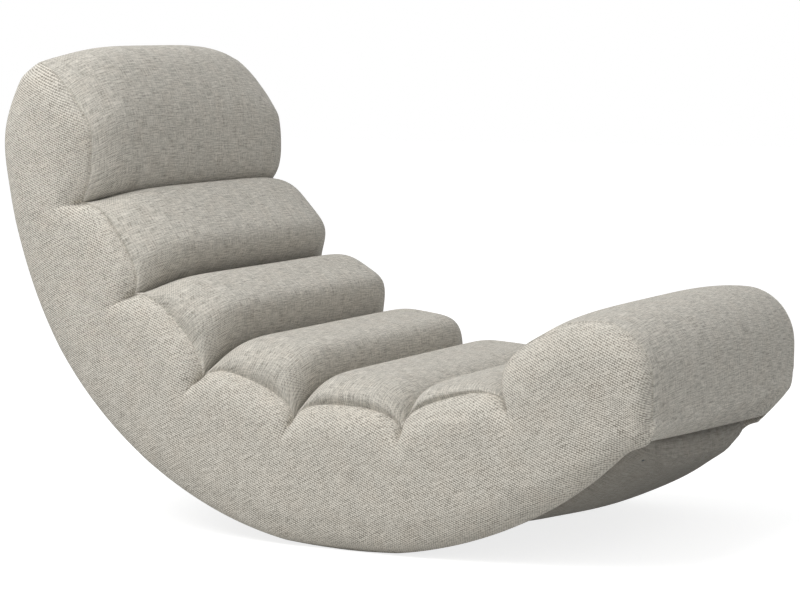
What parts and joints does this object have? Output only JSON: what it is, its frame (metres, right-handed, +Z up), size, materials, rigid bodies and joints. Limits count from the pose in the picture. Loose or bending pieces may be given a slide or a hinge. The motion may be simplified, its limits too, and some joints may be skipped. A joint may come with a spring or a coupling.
{
  "type": "rocking lounge chair",
  "caption": "Upholstered crescent floor rocker: padded cross rolls from legs to head between two padded sides, rocking on its rounded underside.",
  "frame": {"origin": "on the floor, midway between the head end and the leg end and midway across the width", "axes": "+Z up; +Y towards the head end; -Y towards the leg end; +X towards the sitter's left"},
  "size_m": [0.692, 1.2884, 0.8503],
  "materials": {
    "plywood_ribs": "bare birch plywood",
    "bent_board": "bare bent plywood",
    "softwood_rails": "planed pine",
    "ballast_steel": "matt grey primer",
    "zinc_fasteners": "zinc plated",
    "webbing": "black elastic webbing",
    "deck_foam": "pale open-cell foam",
    "top_cloth": "matt greige linen weave",
    "side_cloth": "matt greige linen weave cut on the bias",
    "underside_cloth": "matt greige linen weave over felt"
  },
  "bodies": {
    "root": {"side_rib_left": "plywood_ribs", "side_rib_right": "plywood_ribs", "centre_rib": "plywood_ribs", "rocker_board": "bent_board", "leg_skin": "bent_board", "leg_rail": "softwood_rails", "knee_rail": "softwood_rails", "seat_rail": "softwood_rails", "hip_rail": "softwood_rails", "lumbar_rail": "softwood_rails", "back_rail": "softwood_rails", "shoulder_rail": "softwood_rails", "head_rail": "softwood_rails", "ballast_plate_left": "ballast_steel", "ballast_plate_right": "ballast_steel", "ballast_bolts": "zinc_fasteners", "ballast_washers": "zinc_fasteners", "ballast_nuts": "zinc_fasteners", "rib_screws": "zinc_fasteners", "board_screws": "zinc_fasteners", "seat_webbing": "webbing", "back_webbing": "webbing", "strap_tacks": "zinc_fasteners", "seat_deck": "deck_foam", "back_deck": "deck_foam", "leg_roll": "top_cloth", "seat_front_roll": "top_cloth", "seat_middle_roll": "top_cloth", "seat_rear_roll": "top_cloth", "lumbar_roll": "top_cloth", "upper_back_roll": "top_cloth", "head_roll": "top_cloth", "side_pad_left": "side_cloth", "side_pad_right": "side_cloth", "rocking_edge_left": "underside_cloth", "rocking_edge_right": "underside_cloth", "underside_cover": "underside_cloth", "chin_tuck": "underside_cloth"}
  },
  "joints": []
}
